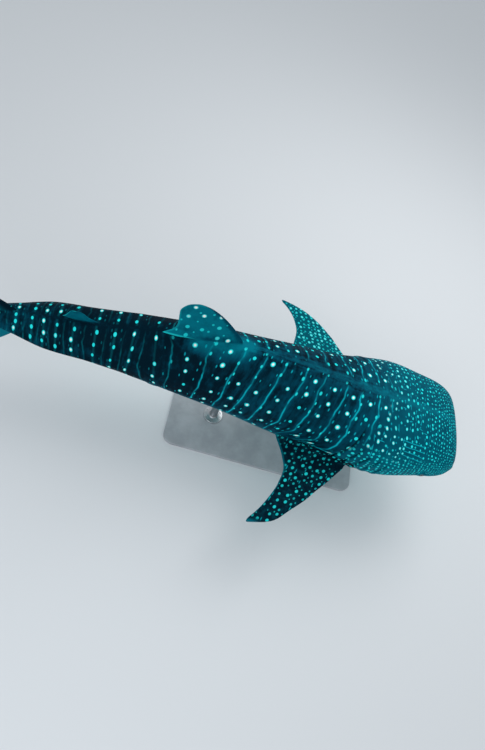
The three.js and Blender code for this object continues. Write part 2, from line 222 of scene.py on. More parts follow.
def ball_grid(name, sides, rings):
    """A ball of rings between two poles.

    Gives the piece, and each point's ring number and turn about the poles.
    """
    deselect_all()
    bpy.ops.mesh.primitive_uv_sphere_add(segments=sides, ring_count=rings, radius=1)
    piece = bpy.context.object
    piece.name = piece.data.name = name
    points = points_of(piece)
    ring = np.rint(np.arccos(np.clip(points[:, 2], -1, 1)) / math.pi * rings).astype(int)
    turn = np.arctan2(points[:, 1], points[:, 0])
    turn = np.rint(turn / (2 * math.pi) * sides) / sides * 2 * math.pi
    return piece, ring, turn


def join_solids(piece, other, operation):
    """Adds the other piece to this one, or cuts it away."""
    activate(piece)
    joint = piece.modifiers.new("joint", "BOOLEAN")
    joint.operation = operation
    joint.solver = "MANIFOLD"
    joint.object = other
    bpy.ops.object.modifier_apply(modifier="joint")


def discard(piece):
    mesh = piece.data
    bpy.data.objects.remove(piece)
    bpy.data.meshes.remove(mesh)


# Skin of the body, as rings from the snout to the tail

ring_spacing = smooth([
    (0, 0.0005), (0.01, 0.0009), (0.05, 0.0012), (0.075, 0.0016), (0.125, 0.0018), (0.14, 0.0011),
    (0.23, 0.0012), (0.26, 0.0028), (0.8, 0.0033), (0.848, 0.0018),
])
NOSE_RINGS = 7
NOSE_DOME = 0.012


def ring_stations():
    stations = [0.0]
    while stations[-1] < TAIL_END:
        stations.append(stations[-1] + float(ring_spacing(stations[-1])))
    stations[-1] = TAIL_END
    return np.array(stations)


# Mouth: a slit across the front of the head, that dips towards its corners

MOUTH_FADES, MOUTH_ENDS = 0.046, 0.054
MOUTH_DEPTH, MOUTH_CROWDING = 0.045, 0.4
mouth_height = smooth([(0, 0), (0.02, -0.002), (0.05, -0.0105)])
mouth_depth = smooth([(0, MOUTH_DEPTH), (0.03, 0.035), (MOUTH_FADES, 0.02), (MOUTH_ENDS, 0)])
mouth_gape = smooth([(0, 0.01), (0.02, 0.009), (0.05, 0.005)])
LIP_OFFSET, LIP_BREADTH, LIP_SWELL = 0.03, 0.015, 0.006
mouth_crowding = smooth([(0, MOUTH_CROWDING), (0.05, MOUTH_CROWDING), (0.1, 0)])

# Gills: five slits on each side, leaning forward at the top

gill_lean = smooth([
    (-90, 0.006), (-30, 0.006), (0, 0), (16, -0.01), (35, -0.02), (50, -0.024), (90, -0.024),
])
gill_region = smooth([(0.105, 0), (0.15, 1), (0.226, 1), (0.28, 0)])
GILLS = [(0.15, 12), (0.169, 14), (0.1875, 15), (0.206, 20), (0.2245, 44)]
GILL_BOTTOM = -38
GILL_FADE = 7
FLAP_SWELL, FLAP_REACH, FLAP_BREADTH = 0.008, 0.026, 0.024
SLIT_DEPTH, SLIT_BREADTH = 0.026, 0.0065
# the dark paint in a cut, painted shade in the recess, is a little narrower than the cut
SHADE_SHARE, PIT_SHADE_SHARE = 0.9, 0.8

# Eye, spiracle and nostril of each side: station, angle above the flank's middle

EYE_STATION, EYE_ANGLE = 0.064, -7
EYE_RADIUS, EYE_DEPTH = 0.026, 0.014
EYE_SIDES, EYE_RINGS, SOCKET_RINGS = 64, 40, 32
SOCKET_GAP = 0.0004
HOLLOW_RADIUS, HOLLOW_BREADTH, HOLLOW_DEPTH = 0.075, 0.028, 0.007
# folds round the eye: distance from its centre, breadth and rise
LID_FOLDS = [
    (0.0345, 0.005, 0.008), (0.0445, 0.0045, -0.004), (0.055, 0.0065, 0.005), (0.068, 0.006, -0.003),
]
# the skin is made finer from just outside the socket to this distance from the eye's centre
LID_PATCH, LID_START = 0.09, 0.001
# the folds rise over this stretch outside the eyeball
FOLD_START, FOLD_FULL = 0.0006, 0.003
# pits: station and angle, then breadth and depth
SPIRACLE = ((0.086, -3), 0.011, 0.016)
NOSTRIL = ((0.007, 16), 0.02, 0.024)


def surface_point(station, degrees_up, mirror):
    angle = math.radians(degrees_up if mirror > 0 else 180 - degrees_up)
    return place(station, *section_of(station, angle))


def make_body():
    stations = ring_stations()
    rings = NOSE_RINGS + len(stations)
    body, ring, turn = ball_grid("shark_skin", SIDES_OF_BODY, rings)
    on_nose = np.clip(ring / NOSE_RINGS, 0, 1)
    station = stations[np.clip(ring - NOSE_RINGS, 0, len(stations) - 1)]
    at_tail = ring == rings

    # rings lean with the gills, and points crowd towards the mouth
    dip = np.arctan2(mouth_height(station), belly_depth(station))
    crowding = mouth_crowding(station)
    angle = turn - crowding * np.sin(2 * turn) + dip * np.cos(turn) * crowding / MOUTH_CROWDING
    up_flank = np.degrees(np.arcsin(np.clip(np.sin(angle), -1, 1)))
    leaning = np.clip(station + gill_lean(up_flank) * gill_region(station), 0, TAIL_END)
    left, height = section_of(leaning, angle)
    spread = np.where(at_tail, 0, on_nose)
    points = place(leaning, left * spread, height * spread)
    points[:, 0] += NOSE_DOME * (1 - on_nose**2)
    move_points(body, points)
    normals = normals_of(body)

    # mouth and lips
    above = (height * spread - mouth_height(leaning)) * TOTAL_LENGTH
    gape = mouth_gape(leaning)
    slit = bell(above, gape) * mouth_depth(leaning)
    closing = mouth_depth(leaning) / MOUTH_DEPTH
    lips = LIP_SWELL * bell(np.abs(above) - LIP_OFFSET, LIP_BREADTH) * closing
    rise = lips - slit
    # painted shade: the mouth's slit, the gill slits and the pits are painted dark inside their cuts
    crease_shade = bell(above, gape * SHADE_SHARE) * step_between(MOUTH_ENDS, MOUTH_FADES, leaning)

    # gill slits, each with a raised flap in front of it
    for slit_station, top in GILLS:
        behind = (station - slit_station) * TOTAL_LENGTH
        along = step_between(top + GILL_FADE, top - GILL_FADE, up_flank)
        along *= step_between(GILL_BOTTOM - GILL_FADE, GILL_BOTTOM + GILL_FADE, up_flank)
        rise += along * FLAP_SWELL * bell(behind + FLAP_REACH, FLAP_BREADTH)
        rise -= along * SLIT_DEPTH * bell(behind, SLIT_BREADTH)
        crease_shade = np.maximum(crease_shade, along * bell(behind, SLIT_BREADTH * SHADE_SHARE))

    # hollows round the eyes, spiracles and nostrils
    for mirror in (1, -1):
        from_eye = np.linalg.norm(points - surface_point(EYE_STATION, EYE_ANGLE, mirror), axis=1)
        rise -= HOLLOW_DEPTH * bell(from_eye - HOLLOW_RADIUS, HOLLOW_BREADTH)
        for at, breadth, depth in (SPIRACLE, NOSTRIL):
            from_pit = np.linalg.norm(points - surface_point(*at, mirror), axis=1)
            rise -= depth * bell(from_pit, breadth)
            crease_shade = np.maximum(crease_shade, bell(from_pit, breadth * PIT_SHADE_SHARE))

    points += normals * rise[:, None]
    move_points(body, points)
    facts = {"points": points, "station": leaning, "angle": angle, "crease_shade": crease_shade}
    return body, facts


# Fins: blades between a leading and a trailing edge, as knots of (span, station, left, height)

def edge(knots):
    knots = np.array(knots, float)
    station, left, height = (smooth(knots[:, [0, k]]) for k in (1, 2, 3))
    return lambda span, mirror: place(station(span), left(span) * mirror, height(span))


FIRST_DORSAL = {
    "leading": edge([
        (0, 0.428, 0, 0.08), (0.1, 0.433, 0, 0.093), (0.36, 0.448, 0, 0.114), (0.68, 0.476, 0, 0.142),
        (0.9, 0.496, 0, 0.1545), (1, 0.511, 0, 0.16),
    ]),
    "trailing": edge([
        (0, 0.565, -0.01, 0.0745), (0.1, 0.558, -0.008, 0.08), (0.22, 0.5485, -0.005, 0.087),
        (0.4, 0.545, -0.003, 0.101), (0.68, 0.547, 0, 0.129), (0.88, 0.54, 0, 0.146),
        (1, 0.528, 0, 0.1575),
    ]),
    "root": 0.066, "tip": 0.012, "tip_start": 0.93,
}
SECOND_DORSAL = {
    "leading": edge([
        (0, 0.653, 0, 0.04), (0.15, 0.663, 0.001, 0.047), (0.5, 0.685, 0.003, 0.0545),
        (0.8, 0.6965, 0.005, 0.0625), (1, 0.707, 0.004, 0.066),
    ]),
    "trailing": edge([
        (0, 0.73, 0.004, 0.0405), (0.12, 0.7265, 0.003, 0.0435), (0.4, 0.7225, 0.003, 0.0495),
        (0.8, 0.717, 0.004, 0.0595), (1, 0.7145, 0.004, 0.0655),
    ]),
    "root": 0.036, "tip": 0.009, "tip_start": 0.88,
}
PECTORAL_RIGHT = {
    "leading": edge([
        (0, 0.19, 0.06, -0.03), (0.1, 0.1985, 0.098, -0.035), (0.22, 0.213, 0.119, -0.038),
        (0.36, 0.2295, 0.143, -0.04), (0.52, 0.2485, 0.17, -0.043), (0.75, 0.2795, 0.2025, -0.046),
        (0.9, 0.305, 0.226, -0.048), (1, 0.3395, 0.2375, -0.05),
    ]),
    "trailing": edge([
        (0, 0.333, 0.06, -0.041), (0.1, 0.32, 0.083, -0.041), (0.22, 0.3065, 0.11, -0.042),
        (0.36, 0.3005, 0.132, -0.043), (0.55, 0.3055, 0.159, -0.045), (0.75, 0.3215, 0.195, -0.047),
        (0.9, 0.338, 0.2205, -0.049), (1, 0.353, 0.2375, -0.05),
    ]),
    "root": 0.078, "tip": 0.012, "tip_start": 0.94,
}
# the left one is swept a little wider in this stroke
PECTORAL_LEFT = {
    "leading": edge([
        (0, 0.172, 0.06, -0.03), (0.1, 0.179, 0.098, -0.034), (0.22, 0.1915, 0.119, -0.036),
        (0.36, 0.2115, 0.143, -0.037), (0.52, 0.2395, 0.17, -0.039), (0.75, 0.2735, 0.2025, -0.042),
        (0.9, 0.305, 0.2235, -0.045), (1, 0.3425, 0.2385, -0.049),
    ]),
    "trailing": edge([
        (0, 0.334, 0.06, -0.036), (0.1, 0.328, 0.088, -0.036), (0.22, 0.3215, 0.112, -0.037),
        (0.36, 0.3185, 0.134, -0.038), (0.55, 0.316, 0.162, -0.041), (0.75, 0.3248, 0.195, -0.044),
        (0.9, 0.3412, 0.221, -0.047), (1, 0.3605, 0.2385, -0.049),
    ]),
    "root": 0.078, "tip": 0.012, "tip_start": 0.95,
}
PELVIC = {
    "leading": edge([
        (0, 0.503, 0.03, -0.046), (0.4, 0.522, 0.029, -0.061), (0.8, 0.543, 0.0265, -0.071),
        (1, 0.553, 0.026, -0.074),
    ]),
    "trailing": edge([
        (0, 0.583, 0.03, -0.06), (0.3, 0.575, 0.0285, -0.0635), (0.7, 0.567, 0.027, -0.07),
        (1, 0.561, 0.026, -0.0735),
    ]),
    "root": 0.032, "tip": 0.009, "tip_start": 0.88,
}
ANAL = {
    "leading": edge([
        (0, 0.672, 0, -0.029), (0.2, 0.681, 0, -0.043), (0.6, 0.697, 0, -0.059), (1, 0.712, 0, -0.0685),
    ]),
    "trailing": edge([
        (0, 0.742, 0, -0.031), (0.2, 0.731, 0, -0.039), (0.6, 0.723, 0, -0.055), (1, 0.718, 0, -0.068),
    ]),
    "root": 0.03, "tip": 0.009, "tip_start": 0.88,
}
CAUDAL_UPPER = {
    "leading": edge([
        (0, 0.784, 0, 0.006), (0.12, 0.803, 0, 0.027), (0.25, 0.832, 0, 0.048), (0.45, 0.87, 0, 0.078),
        (0.65, 0.911, 0, 0.113), (0.85, 0.955, 0, 0.148), (1, 0.991, 0, 0.171),
    ]),
    "trailing": edge([
        (0, 0.862, 0, -0.014), (0.12, 0.864, 0, 0.008), (0.25, 0.871, 0, 0.027), (0.45, 0.893, 0, 0.059),
        (0.65, 0.923, 0, 0.092), (0.85, 0.963, 0, 0.131), (1, 0.998, 0, 0.1655),
    ]),
    "root": 0.056, "tip": 0.012, "tip_start": 0.95,
}
CAUDAL_LOWER = {
    "leading": edge([
        (0, 0.781, 0, -0.004), (0.15, 0.79, 0, -0.025), (0.35, 0.807, 0, -0.044), (0.6, 0.825, 0, -0.068),
        (0.85, 0.856, 0, -0.098), (1, 0.877, 0, -0.117),
    ]),
    "trailing": edge([
        (0, 0.863, 0, -0.004), (0.15, 0.86, 0, -0.021), (0.35, 0.86, 0, -0.04), (0.6, 0.865, 0, -0.066),
        (0.85, 0.877, 0, -0.096), (1, 0.886, 0, -0.115),
    ]),
    "root": 0.056, "tip": 0.012, "tip_start": 0.95,
}
FINS = [
    ("first_dorsal", FIRST_DORSAL, 1), ("second_dorsal", SECOND_DORSAL, 1), ("anal", ANAL, 1),
    ("pectoral_left", PECTORAL_LEFT, 1), ("pectoral_right", PECTORAL_RIGHT, -1),
    ("pelvic_left", PELVIC, 1), ("pelvic_right", PELVIC, -1),
    ("caudal_upper", CAUDAL_UPPER, 1), ("caudal_lower", CAUDAL_LOWER, 1),
]
TIP_RINGS = 9
LENS_FULLNESS, LENS_THINNING, SPAN_THINNING = 1.15, 0.55, 0.7


def make_fin(name, fin, mirror):
    piece, ring, turn = ball_grid(name, SIDES_OF_FIN, RINGS_OF_FIN)
    last_full = RINGS_OF_FIN - TIP_RINGS
    rounding = np.clip((ring - last_full) / TIP_RINGS, 0, 1) * math.pi / 2
    span = np.clip((ring - 1) / (last_full - 1), 0, 1) * fin["tip_start"]
    span += (1 - fin["tip_start"]) * np.sin(rounding)
    lead, trail = fin["leading"](span, mirror), fin["trailing"](span, mirror)
    chord = trail - lead
    outward = fin["leading"](1.0, mirror) - fin["leading"](0.0, mirror)
    across = unit(np.cross(chord, outward))
    half = (fin["root"] + (fin["tip"] - fin["root"]) * span**SPAN_THINNING) / 2
    along = (1 - np.cos(turn)) / 2
    lens = np.sin(turn) * (LENS_FULLNESS - LENS_THINNING * along)

    # the first point closes the root, and the last rings close round the tip
    middle = (lead + trail) / 2
    points = lead + chord * along[:, None] + across * (half * lens)[:, None]
    reach = np.where(ring == 0, 0, np.cos(rounding))
    move_points(piece, middle + (points - middle) * reach[:, None])
    with editing(piece):
        bpy.ops.mesh.select_all(action="SELECT")
        bpy.ops.mesh.normals_make_consistent(inside=False)
    return piece, {"points": points_of(piece), "span": span, "along": along}


# Joining the skin

FILLET_REACH = 0.03
FILLET_ROUNDS = 8


def tree_of(points):
    tree = KDTree(len(points))
    for i, point in enumerate(points):
        tree.insert(point, i)
    tree.balance()
    return tree


def nearest(tree, points):
    found = [tree.find(point)[1:] for point in points]
    return np.array([f[0] for f in found]), np.array([f[1] for f in found])


def select_points(piece, chosen):
    piece.data.vertices.foreach_set("select", np.ascontiguousarray(chosen))
    piece.data.edges.foreach_set("select", np.zeros(len(piece.data.edges), bool))
    piece.data.polygons.foreach_set("select", np.zeros(len(piece.data.polygons), bool))


def make_skin():
    skin, body = make_body()
    fins = []
    for name, form, mirror in FINS:
        piece, facts = make_fin(name, form, mirror)
        join_solids(skin, piece, "UNION")
        discard(piece)
        fins.append((name, facts))

    # round the skin where the fins grow out of it
    body_tree = tree_of(body["points"])
    fin_points = np.concatenate([facts["points"] for _, facts in fins])
    fin_tree = tree_of(fin_points)
    points = points_of(skin)
    _, from_body = nearest(body_tree, points)
    _, from_fin = nearest(fin_tree, points)
    select_points(skin, (from_body < FILLET_REACH) & (from_fin < FILLET_REACH))
    with editing(skin):
        bpy.ops.mesh.vertices_smooth(factor=0.5, repeat=FILLET_ROUNDS)
    return skin, body, fins, body_tree, fin_tree


def cut_sockets(skin):
    for mirror in (1, -1):
        deselect_all()
        bpy.ops.mesh.primitive_uv_sphere_add(
            segments=EYE_SIDES, ring_count=SOCKET_RINGS, radius=EYE_RADIUS + SOCKET_GAP,
            location=eye_centre(mirror),
        )
        socket = bpy.context.object
        join_solids(skin, socket, "DIFFERENCE")
        discard(socket)


def drop_empty_faces(skin):
    with editing(skin):
        bpy.ops.mesh.select_all(action="SELECT")
        bpy.ops.mesh.dissolve_degenerate(threshold=1e-6)


def eye_centre(mirror):
    surface = surface_point(EYE_STATION, EYE_ANGLE, mirror)
    _, left, _ = frame_of(np.array(EYE_STATION))
    return surface - left * mirror * EYE_DEPTH


def shape_lids(skin):
    """Makes the skin finer round the eyes, and raises it into folds."""
    with editing(skin):
        bpy.ops.mesh.select_mode(type="FACE")
        bpy.ops.mesh.select_all(action="DESELECT")
    middles = np.empty(len(skin.data.polygons) * 3)
    skin.data.polygons.foreach_get("center", middles)
    away = from_eyes(middles.reshape(-1, 3))
    skin.data.polygons.foreach_set("select", (away < LID_PATCH) & (away > EYE_RADIUS + LID_START))
    with editing(skin):
        bpy.ops.mesh.subdivide(number_cuts=2)
    points = points_of(skin)
    away = from_eyes(points)
    rise = sum(height * bell(away - distance, breadth) for distance, breadth, height in LID_FOLDS)
    rise *= step_between(EYE_RADIUS + FOLD_START, EYE_RADIUS + FOLD_FULL, away)
    move_points(skin, points + normals_of(skin) * rise[:, None])


def from_eyes(points):
    return np.minimum(*(np.linalg.norm(points - eye_centre(mirror), axis=1) for mirror in (1, -1)))


# Markings: where the columns of spots and the rows lie on the skin

COLUMN_STATIONS = [
    0.13, 0.155, 0.181, 0.21, 0.243, 0.278, 0.315, 0.35, 0.388, 0.42, 0.459, 0.511, 0.565, 0.608,
    0.638, 0.668, 0.704, 0.732, 0.753, 0.772, 0.8, 0.83,
]
column_at = smooth([(s, k + 0.5) for k, s in enumerate(COLUMN_STATIONS)])
column_slant = smooth([
    (0.14, 0.02), (0.25, 0.022), (0.4, 0.019), (0.46, 0.012), (0.52, -0.004), (0.56, -0.016), (0.61, 0),
    (0.7, -0.006), (0.8, 0),
])
# the slant is measured from this turn down the flank, in degrees
SLANT_MIDDLE, SLANT_REACH = 55, 75
# the columns of the right side are other draws than those of the left
RIGHT_SIDE = 40
# where the head's speckles give way to the bars: station on the back, and how much later on the flank
BARS_START, BARS_LATER = 0.142, 0.085
row_angle = smooth([(0.14, 17), (0.22, 19.5), (0.46, 19.5), (0.56, 22), (0.66, 26.5), (0.85, 27.5)])
# speckles of the head stand further apart with the distance from the snout, in metres
SPECKLE_START = 0.0185
CROWN_GROWTH, CHEEK_GROWTH = 0.06, 0.036
# the lines between the columns swing tailward over the root of the pectoral fin
LINE_HOOK = 0.03
# how far a pectoral fin's colour spreads up the flank, in metres; on the right it is the fin's painted
# shade
pectoral_reach = smooth([(0.16, 0.07), (0.21, 0.13), (0.27, 0.1), (0.33, 0.025)])
# how far the painted light of the first dorsal fin spreads down the back, in metres; under its free rear
# tip it is left out, as painted shadow
DORSAL_REACH = 0.2
# for points that are nowhere near a pectoral fin
FAR_AWAY = 9.0


def put_attribute(mesh, name, values):
    attribute = mesh.attributes.new(name, "FLOAT", "POINT")
    attribute.data.foreach_set("value", np.ascontiguousarray(values, np.float32))


def mark_skin(skin, body, fins, body_tree, fin_tree):
    """Writes the places that the markings are drawn from as attributes of the skin."""
    points = points_of(skin)
    index, from_body = nearest(body_tree, points)
    station, angle = body["station"][index], body["angle"][index]
    turn = np.abs(np.degrees(np.arctan2(np.cos(angle), np.sin(angle))))
    right = np.cos(angle) < 0

    hook = LINE_HOOK * step_between(0.36, 0.28, station) * step_between(84, 112, turn)
    straight = station - column_slant(station) * (turn - SLANT_MIDDLE) / SLANT_REACH - hook
    small = 1e-3
    column_rate = (column_at(straight + small) - column_at(straight - small)) / (2 * small)
    girth = np.hypot(
        half_width(station) * np.sin(angle),
        np.where(np.sin(angle) > 0, back_height(station), belly_depth(station)) * np.cos(angle),
    )

    table = np.linspace(0, 1, 2001)
    path = np.hypot(np.diff(table), np.diff(back_height(table))) * TOTAL_LENGTH
    from_snout = np.interp(station, table, np.concatenate([[0], np.cumsum(path)]))
    broad = np.hypot(half_width(station), back_height(station)) / math.sqrt(2) * TOTAL_LENGTH
    bars_from = BARS_START + BARS_LATER * turn / 90
    places = {
        "station": station,
        "turn": turn,
        "column": column_at(straight) + np.where(right, RIGHT_SIDE, 0),
        "row": turn / row_angle(station),
        "column_gap": TOTAL_LENGTH / np.maximum(column_rate, 1),
        "row_gap": np.radians(row_angle(station)) * girth * TOTAL_LENGTH,
        "from_snout": from_snout,
        "arc": np.radians(turn) * np.where(right, -1, 1) * broad,
        "bars": step_between(bars_from - 0.006, bars_from + 0.01, station),
        "facing_down": step_between(-0.15, -0.5, normals_of(skin)[:, 2]),
        # painted shade in the mouth, the gill slits and the pits
        "crease_shade": body["crease_shade"][index] * step_between(0.02, 0.008, from_body),
    }

    # what each point of a fin belongs to
    names = np.concatenate([[k] * len(facts["points"]) for k, (_, facts) in enumerate(fins)])
    span = np.concatenate([facts["span"] for _, facts in fins])
    along = np.concatenate([facts["along"] for _, facts in fins])
    fin_index, from_fin = nearest(fin_tree, points)
    owner = names[fin_index]
    outside = np.where(from_fin < from_body, step_between(0.004, 0.03, from_body), 0)
    places["fin_span"], places["fin_along"] = span[fin_index], along[fin_index]
    groups = {
        "pectoral": ("pectoral_left", "pectoral_right"),
        "first_dorsal": ("first_dorsal",),
        "plain_fin": ("second_dorsal", "anal", "pelvic_left", "pelvic_right"),
        "caudal": ("caudal_upper", "caudal_lower"),
        "caudal_low": ("caudal_lower",),
    }
    order = [name for name, _ in fins]
    for group, members in groups.items():
        mine = np.isin(owner, [order.index(name) for name in members])
        places[group] = np.where(mine, outside, 0)
        if group == "pectoral":
            places["by_pectoral"] = np.where(mine, from_fin / pectoral_reach(station), FAR_AWAY)
        if group == "first_dorsal":
            # painted light by the fin's base, left out under its free rear tip as painted shadow
            dorsal_patch_light = step_between(DORSAL_REACH, 0, from_fin) * step_between(0.85, 0.5, along[fin_index])
            places["by_dorsal"] = np.where(mine, dorsal_patch_light, 0)
    for name, values in places.items():
        put_attribute(skin.data, name, values)


# Materials

def linear(red, green, blue):
    """A colour given in eye values of 0 to 255, as the renderer's light values."""
    def one(value):
        value /= 255
        return value / 12.92 if value <= 0.04045 else ((value + 0.055) / 1.055) ** 2.4
    return (one(red), one(green), one(blue), 1)


class Value:
    """A number or colour that changes over a surface. Sums with it add Math nodes."""

    def __init__(self, paint, socket):
        self.paint = paint
        self.socket = socket

    def math(self, operation, *others):
        return self.paint.node("ShaderNodeMath", {"operation": operation}, dict(enumerate(others)))

    def __add__(self, other):
        return self.math("ADD", self, other)

    def __sub__(self, other):
        return self.math("SUBTRACT", self, other)

    def __rsub__(self, other):
        return self.math("SUBTRACT", other, self)

    def __mul__(self, other):
        return self.math("MULTIPLY", self, other)

    def __truediv__(self, other):
        return self.math("DIVIDE", self, other)

    def __rtruediv__(self, other):
        return self.math("DIVIDE", other, self)

    def __lt__(self, other):
        return self.math("LESS_THAN", self, other)

    __radd__ = __add__
    __rmul__ = __mul__

    def floor(self):
        return self.math("FLOOR", self)

    def size(self):
        return self.math("ABSOLUTE", self)

    def root(self):
        return self.math("SQRT", self)

    def logarithm(self):
        return self.math("LOGARITHM", self, math.e)

    def exponent(self):
        return self.math("EXPONENT", self)

    def or_more(self, other):
        return self.math("MAXIMUM", self, other)

    def or_less(self, other):
        return self.math("MINIMUM", self, other)

    def between(self, low, high):
        """0 at low, 1 at high, and smooth between; low may be the larger."""
        return self.paint.node(
            "ShaderNodeMapRange", {"interpolation_type": "SMOOTHSTEP"},
            {"Value": self, "From Min": low, "From Max": high},
        )

    def output(self, name):
        return Value(self.paint, self.socket.node.outputs[name])


class Paint:
    """A material under construction."""

    def __init__(self, name):
        self.material = bpy.data.materials.new(name)
        self.material.use_nodes = True
        self.tree = self.material.node_tree
        self.tree.nodes.clear()

    def node(self, kind, settings=None, inputs=None):
        """Adds a node, sets it up, feeds its sockets and gives its first output."""
        node = self.tree.nodes.new(kind)
        for name, setting in (settings or {}).items():
            setattr(node, name, setting)
        for name, value in (inputs or {}).items():
            if isinstance(value, Value):
                self.tree.links.new(value.socket, node.inputs[name])
            else:
                node.inputs[name].default_value = value
        return Value(self, node.outputs[0]) if node.outputs else None

    def attribute(self, name):
        return self.node("ShaderNodeAttribute", {"attribute_name": name}).output("Fac")

    def attributes(self, *names):
        return [self.attribute(name) for name in names]

    def point(self):
        return self.node("ShaderNodeTexCoord").output("Object")

    def vector(self, x, y, z=0):
        return self.node("ShaderNodeCombineXYZ", None, {"X": x, "Y": y, "Z": z})

    def distance(self, place_at):
        inputs = {0: self.point(), 1: [float(value) for value in place_at]}
        return self.node("ShaderNodeVectorMath", {"operation": "DISTANCE"}, inputs).output("Value")

    def parts(self, vector):
        split = self.node("ShaderNodeSeparateXYZ", None, {"Vector": vector})
        return split, split.output("Y"), split.output("Z")

    def noise(self, vector, scale=1, detail=3, roughness=0.5):
        inputs = {"Vector": vector, "Scale": scale, "Detail": detail, "Roughness": roughness}
        return self.node("ShaderNodeTexNoise", None, inputs)

    def chances(self, x, y, seed):
        """Four random numbers for each whole place."""
        dice = self.node(
            "ShaderNodeTexWhiteNoise", {"noise_dimensions": "3D"}, {"Vector": self.vector(x, y, seed)}
        )
        return *self.parts(dice.output("Color")), dice

    def mix(self, amount, first, second):
        return self.node(
            "ShaderNodeMix", {"data_type": "RGBA"}, {0: amount, 6: first, 7: second}
        ).output(2)

    def finish(self, **sockets):
        inputs = {name.replace("_", " "): value for name, value in sockets.items()}
        shader = self.node("ShaderNodeBsdfPrincipled", None, inputs)
        self.node("ShaderNodeOutputMaterial", None, {"Surface": shader})
        return self.material


DARK_FLANK = linear(0, 25, 38)
TEAL = linear(0, 64, 84)
LIGHT_TEAL = linear(0, 110, 128)
# on the first dorsal fin this lighter teal is painted light, as of light through the thin fin
DORSAL_TEAL = linear(0, 108, 126)
# lit and shaded copies of the pectoral colour: painted light on the left fin, painted shade on the right
LIT_LEFT_FIN_TEAL = linear(0, 84, 100)
SHADED_PECTORAL = linear(0, 26, 40)
PALE_BELLY = linear(168, 222, 222)
SPOT_RIM = linear(36, 226, 228)
SPOT_CORE = linear(255, 244, 236)
LINE_TEAL = linear(8, 172, 188)
# painted shade, for the cuts, the pectoral roots and the eye sockets
CREASE_SHADE = linear(0, 12, 20)


# marks are from this share of their radius up to this much more
SMALLEST_MARK, MARK_SPREAD = 0.78, 0.4


class Marks:
    """Soft marks, at most one in each cell of a lattice, measured in metres."""

    def __init__(self, paint, across, down, gaps, radii, jitter, likely, seed):
        column, row = across.floor(), down.floor()
        first, second, third, fourth = paint.chances(column, row, seed)
        off_column = (across - column - 0.5 - (first - 0.5) * jitter[0]) * gaps[0] / radii[0]
        off_row = (down - row - 0.5 - (second - 0.5) * jitter[1]) * gaps[1] / radii[1]
        away = (off_column * off_column + off_row * off_row).root()
        self.away = away / (third * MARK_SPREAD + SMALLEST_MARK)
        self.there = fourth < likely
        self.luck = third

    def mask(self, edge, full):
        return self.away.between(edge, full) * self.there


def flank_marks(paint, station, turn):
    """Columns of spots and the thin lines between them. Gives masks of faint, bright and white paint."""
    column, row, *gaps = paint.attributes("column", "row", "column_gap", "row_gap")
    tailward = station.between(0.48, 0.62)
    near_ridge = turn.between(48, 30)
    spot_radii = 0.021 - tailward * 0.0055, 0.0245 + tailward * 0.001
    spots = Marks(paint, column, row + 0.65 + tailward * 0.25, gaps, spot_radii, (0.16, 0.22), 0.96, 3)
    bead_radii = 0.0085 + near_ridge * 0.004, 0.021
    bead_gaps = gaps[0], gaps[1] / 1.2
    bead_crowding = near_ridge * 0.3 + station.between(0.32, 0.2) * 0.2 + 0.48
    beads = Marks(paint, column + 0.5, row * 1.2, bead_gaps, bead_radii, (0.1, 0.5), bead_crowding, 11)
    dash_gaps = gaps[0] / 2, gaps[1] / 1.7
    crowding = station.between(0.44, 0.2) * 0.55 + 0.3
    dashes = Marks(paint, column * 2, row * 1.7, dash_gaps, (0.0075, 0.019), (0.5, 0.5), crowding, 23)

    line_number = (column + 0.5).floor()
    sway = paint.noise(paint.vector(line_number * 3.7, row * 0.55), 1, 2) - 0.5
    beside = column + 0.5 + sway * (station.between(0.4, 0.22) * 0.5 + 0.4)
    from_line = (beside - beside.floor() - 0.5).size() * gaps[0]
    broken = paint.noise(paint.vector(line_number * 7.3, row * 1.1), 1, 2).between(0.36, 0.58)
    fading = station.between(0.62, 0.46) * 0.84 + 0.16
    fading = fading * (1 - near_ridge * station.between(0.2, 0.3) * 0.5) * turn.between(4, 12)
    line = from_line.between(0.0115, 0.003) * (broken * 0.7 + 0.3) * fading
    halo = from_line.between(0.035, 0.004) * fading
    in_column = (column - column.floor() - 0.5).size() * gaps[0]
    link = in_column.between(0.019, 0.002) * tailward * 0.1
    faint = (line * 0.9).or_more(dashes.mask(1.25, 0.4) * (1 - tailward * 0.75) * 0.78).or_more(link)
    bright = spots.mask(1.12, 0.78).or_more(beads.mask(1.2, 0.6) * 0.85 * station.between(0.6, 0.48))
    white = spots.mask(0.68, 0.25) * spots.luck.between(tailward * 0.4 + 0.16, tailward * 0.4 + 0.3)
    return faint, bright, white, halo


SWIRL_LINES = 18
STROKE_GAP = 0.11


